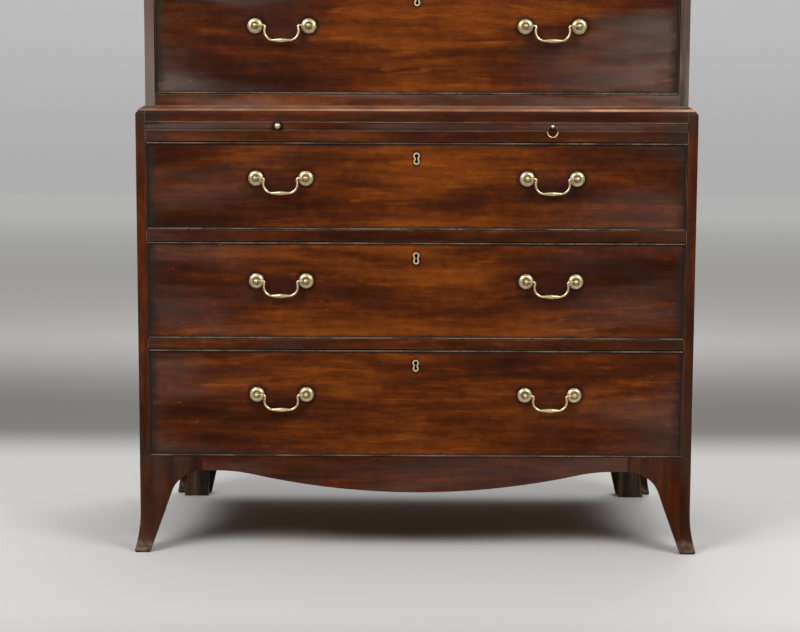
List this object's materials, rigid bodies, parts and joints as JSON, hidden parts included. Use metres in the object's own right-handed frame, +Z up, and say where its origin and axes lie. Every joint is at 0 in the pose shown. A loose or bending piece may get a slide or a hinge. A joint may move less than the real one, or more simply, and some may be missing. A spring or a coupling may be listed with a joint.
{
  "type": "chest on chest",
  "caption": "Two-part mahogany chest of graduated cockbeaded drawers with brass swan-neck bail handles, a brushing slide, a plain cornice, a shaped apron and splay bracket feet.",
  "frame": {"origin": "on the floor, under the middle of the whole piece's width and depth", "axes": "+X to the viewer's right seen from the front, +Y from front to back, +Z up"},
  "size_m": [1.146, 0.585, 1.7834],
  "materials": {
    "mahogany": "old polished mahogany",
    "mahogany_drawer_front": "old polished figured mahogany",
    "oak": "bare aged oak",
    "pine": "rough aged pine",
    "brass": "aged brass",
    "iron": "worn iron"
  },
  "bodies": {
    "lower_case": {"base_aprons": "mahogany", "splay_feet": "mahogany", "foot_blocks": "pine", "lower_case_sides": "mahogany", "lower_case_rails": "mahogany", "lower_dust_and_back_boards": "pine", "waist_moulding": "mahogany"},
    "upper_case": {"upper_case_sides": "mahogany", "upper_case_rails": "mahogany", "upper_dust_and_back_boards": "pine", "cornice": "mahogany"},
    "brushing_slide": {"slide_board": "mahogany", "slide_pulls": "brass"},
    "slide_ring": {"slide_ring": "brass"},
    "lower_bottom_drawer": {"lower_bottom_drawer_front": "mahogany_drawer_front", "lower_bottom_drawer_box": "oak", "lower_bottom_drawer_fittings": "brass"},
    "lower_bottom_drawer_bolt": {"lower_bottom_drawer_bolt": "iron"},
    "lower_bottom_drawer_bail_left": {"lower_bottom_drawer_bail_left": "brass"},
    "lower_bottom_drawer_bail_right": {"lower_bottom_drawer_bail_right": "brass"},
    "lower_middle_drawer": {"lower_middle_drawer_front": "mahogany_drawer_front", "lower_middle_drawer_box": "oak", "lower_middle_drawer_fittings": "brass"},
    "lower_middle_drawer_bolt": {"lower_middle_drawer_bolt": "iron"},
    "lower_middle_drawer_bail_left": {"lower_middle_drawer_bail_left": "brass"},
    "lower_middle_drawer_bail_right": {"lower_middle_drawer_bail_right": "brass"},
    "lower_top_drawer": {"lower_top_drawer_front": "mahogany_drawer_front", "lower_top_drawer_box": "oak", "lower_top_drawer_fittings": "brass"},
    "lower_top_drawer_bolt": {"lower_top_drawer_bolt": "iron"},
    "lower_top_drawer_bail_left": {"lower_top_drawer_bail_left": "brass"},
    "lower_top_drawer_bail_right": {"lower_top_drawer_bail_right": "brass"},
    "upper_bottom_drawer": {"upper_bottom_drawer_front": "mahogany_drawer_front", "upper_bottom_drawer_box": "oak", "upper_bottom_drawer_fittings": "brass"},
    "upper_bottom_drawer_bolt": {"upper_bottom_drawer_bolt": "iron"},
    "upper_bottom_drawer_bail_left": {"upper_bottom_drawer_bail_left": "brass"},
    "upper_bottom_drawer_bail_right": {"upper_bottom_drawer_bail_right": "brass"},
    "upper_middle_drawer": {"upper_middle_drawer_front": "mahogany_drawer_front", "upper_middle_drawer_box": "oak", "upper_middle_drawer_fittings": "brass"},
    "upper_middle_drawer_bolt": {"upper_middle_drawer_bolt": "iron"},
    "upper_middle_drawer_bail_left": {"upper_middle_drawer_bail_left": "brass"},
    "upper_middle_drawer_bail_right": {"upper_middle_drawer_bail_right": "brass"},
    "upper_top_drawer": {"upper_top_drawer_front": "mahogany_drawer_front", "upper_top_drawer_box": "oak", "upper_top_drawer_fittings": "brass"},
    "upper_top_drawer_bolt": {"upper_top_drawer_bolt": "iron"},
    "upper_top_drawer_bail_left": {"upper_top_drawer_bail_left": "brass"},
    "upper_top_drawer_bail_right": {"upper_top_drawer_bail_right": "brass"},
    "short_left_drawer": {"short_left_drawer_front": "mahogany_drawer_front", "short_left_drawer_box": "oak", "short_left_drawer_fittings": "brass"},
    "short_left_drawer_bolt": {"short_left_drawer_bolt": "iron"},
    "short_left_drawer_bail_middle": {"short_left_drawer_bail_middle": "brass"},
    "short_right_drawer": {"short_right_drawer_front": "mahogany_drawer_front", "short_right_drawer_box": "oak", "short_right_drawer_fittings": "brass"},
    "short_right_drawer_bolt": {"short_right_drawer_bolt": "iron"},
    "short_right_drawer_bail_middle": {"short_right_drawer_bail_middle": "brass"}
  },
  "joints": [
    {"name": "upper_case_lift", "type": "slide", "parent": "lower_case", "child": "upper_case", "axis": [0, 0, 1], "range_m": [0, 0.1]},
    {"name": "brushing_slide_pull", "type": "slide", "parent": "lower_case", "child": "brushing_slide", "axis": [0, -1, 0], "range_m": [0, 0.3]},
    {"name": "slide_ring_swing", "type": "hinge", "parent": "brushing_slide", "child": "slide_ring", "pos_m": [0.265, -0.277, 0.8483], "axis": [-1, 0, 0], "range_deg": [0, 165]},
    {"name": "lower_bottom_drawer_pull", "type": "slide", "parent": "lower_case", "child": "lower_bottom_drawer", "axis": [0, -1, 0], "range_m": [0, 0.42]},
    {"name": "lower_bottom_drawer_bolt_throw", "type": "slide", "parent": "lower_bottom_drawer", "child": "lower_bottom_drawer_bolt", "axis": [0, 0, 1], "range_m": [0, 0.007]},
    {"name": "lower_bottom_drawer_bail_left_swing", "type": "hinge", "parent": "lower_bottom_drawer", "child": "lower_bottom_drawer_bail_left", "pos_m": [-0.266, -0.281, 0.3189], "axis": [-1, 0, 0], "range_deg": [0, 165]},
    {"name": "lower_bottom_drawer_bail_right_swing", "type": "hinge", "parent": "lower_bottom_drawer", "child": "lower_bottom_drawer_bail_right", "pos_m": [0.266, -0.281, 0.3189], "axis": [-1, 0, 0], "range_deg": [0, 165]},
    {"name": "lower_middle_drawer_pull", "type": "slide", "parent": "lower_case", "child": "lower_middle_drawer", "axis": [0, -1, 0], "range_m": [0, 0.42]},
    {"name": "lower_middle_drawer_bolt_throw", "type": "slide", "parent": "lower_middle_drawer", "child": "lower_middle_drawer_bolt", "axis": [0, 0, 1], "range_m": [0, 0.007]},
    {"name": "lower_middle_drawer_bail_left_swing", "type": "hinge", "parent": "lower_middle_drawer", "child": "lower_middle_drawer_bail_left", "pos_m": [-0.266, -0.281, 0.5451], "axis": [-1, 0, 0], "range_deg": [0, 165]},
    {"name": "lower_middle_drawer_bail_right_swing", "type": "hinge", "parent": "lower_middle_drawer", "child": "lower_middle_drawer_bail_right", "pos_m": [0.266, -0.281, 0.5451], "axis": [-1, 0, 0], "range_deg": [0, 165]},
    {"name": "lower_top_drawer_pull", "type": "slide", "parent": "lower_case", "child": "lower_top_drawer", "axis": [0, -1, 0], "range_m": [0, 0.42]},
    {"name": "lower_top_drawer_bolt_throw", "type": "slide", "parent": "lower_top_drawer", "child": "lower_top_drawer_bolt", "axis": [0, 0, 1], "range_m": [0, 0.007]},
    {"name": "lower_top_drawer_bail_left_swing", "type": "hinge", "parent": "lower_top_drawer", "child": "lower_top_drawer_bail_left", "pos_m": [-0.266, -0.281, 0.7466], "axis": [-1, 0, 0], "range_deg": [0, 165]},
    {"name": "lower_top_drawer_bail_right_swing", "type": "hinge", "parent": "lower_top_drawer", "child": "lower_top_drawer_bail_right", "pos_m": [0.266, -0.281, 0.7466], "axis": [-1, 0, 0], "range_deg": [0, 165]},
    {"name": "upper_bottom_drawer_pull", "type": "slide", "parent": "upper_case", "child": "upper_bottom_drawer", "axis": [0, -1, 0], "range_m": [0, 0.42]},
    {"name": "upper_bottom_drawer_bolt_throw", "type": "slide", "parent": "upper_bottom_drawer", "child": "upper_bottom_drawer_bolt", "axis": [0, 0, 1], "range_m": [0, 0.007]},
    {"name": "upper_bottom_drawer_bail_left_swing", "type": "hinge", "parent": "upper_bottom_drawer", "child": "upper_bottom_drawer_bail_left", "pos_m": [-0.264, -0.264, 1.0428], "axis": [-1, 0, 0], "range_deg": [0, 165]},
    {"name": "upper_bottom_drawer_bail_right_swing", "type": "hinge", "parent": "upper_bottom_drawer", "child": "upper_bottom_drawer_bail_right", "pos_m": [0.264, -0.264, 1.0428], "axis": [-1, 0, 0], "range_deg": [0, 165]},
    {"name": "upper_middle_drawer_pull", "type": "slide", "parent": "upper_case", "child": "upper_middle_drawer", "axis": [0, -1, 0], "range_m": [0, 0.42]},
    {"name": "upper_middle_drawer_bolt_throw", "type": "slide", "parent": "upper_middle_drawer", "child": "upper_middle_drawer_bolt", "axis": [0, 0, 1], "range_m": [0, 0.007]},
    {"name": "upper_middle_drawer_bail_left_swing", "type": "hinge", "parent": "upper_middle_drawer", "child": "upper_middle_drawer_bail_left", "pos_m": [-0.264, -0.264, 1.2658], "axis": [-1, 0, 0], "range_deg": [0, 165]},
    {"name": "upper_middle_drawer_bail_right_swing", "type": "hinge", "parent": "upper_middle_drawer", "child": "upper_middle_drawer_bail_right", "pos_m": [0.264, -0.264, 1.2658], "axis": [-1, 0, 0], "range_deg": [0, 165]},
    {"name": "upper_top_drawer_pull", "type": "slide", "parent": "upper_case", "child": "upper_top_drawer", "axis": [0, -1, 0], "range_m": [0, 0.42]},
    {"name": "upper_top_drawer_bolt_throw", "type": "slide", "parent": "upper_top_drawer", "child": "upper_top_drawer_bolt", "axis": [0, 0, 1], "range_m": [0, 0.007]},
    {"name": "upper_top_drawer_bail_left_swing", "type": "hinge", "parent": "upper_top_drawer", "child": "upper_top_drawer_bail_left", "pos_m": [-0.264, -0.264, 1.466], "axis": [-1, 0, 0], "range_deg": [0, 165]},
    {"name": "upper_top_drawer_bail_right_swing", "type": "hinge", "parent": "upper_top_drawer", "child": "upper_top_drawer_bail_right", "pos_m": [0.264, -0.264, 1.466], "axis": [-1, 0, 0], "range_deg": [0, 165]},
    {"name": "short_left_drawer_pull", "type": "slide", "parent": "upper_case", "child": "short_left_drawer", "axis": [0, -1, 0], "range_m": [0, 0.42]},
    {"name": "short_left_drawer_bolt_throw", "type": "slide", "parent": "short_left_drawer", "child": "short_left_drawer_bolt", "axis": [0, 0, 1], "range_m": [0, 0.007]},
    {"name": "short_left_drawer_bail_middle_swing", "type": "hinge", "parent": "short_left_drawer", "child": "short_left_drawer_bail_middle", "pos_m": [-0.262, -0.264, 1.6252], "axis": [-1, 0, 0], "range_deg": [0, 165]},
    {"name": "short_right_drawer_pull", "type": "slide", "parent": "upper_case", "child": "short_right_drawer", "axis": [0, -1, 0], "range_m": [0, 0.42]},
    {"name": "short_right_drawer_bolt_throw", "type": "slide", "parent": "short_right_drawer", "child": "short_right_drawer_bolt", "axis": [0, 0, 1], "range_m": [0, 0.007]},
    {"name": "short_right_drawer_bail_middle_swing", "type": "hinge", "parent": "short_right_drawer", "child": "short_right_drawer_bail_middle", "pos_m": [0.262, -0.264, 1.6252], "axis": [-1, 0, 0], "range_deg": [0, 165]}
  ]
}
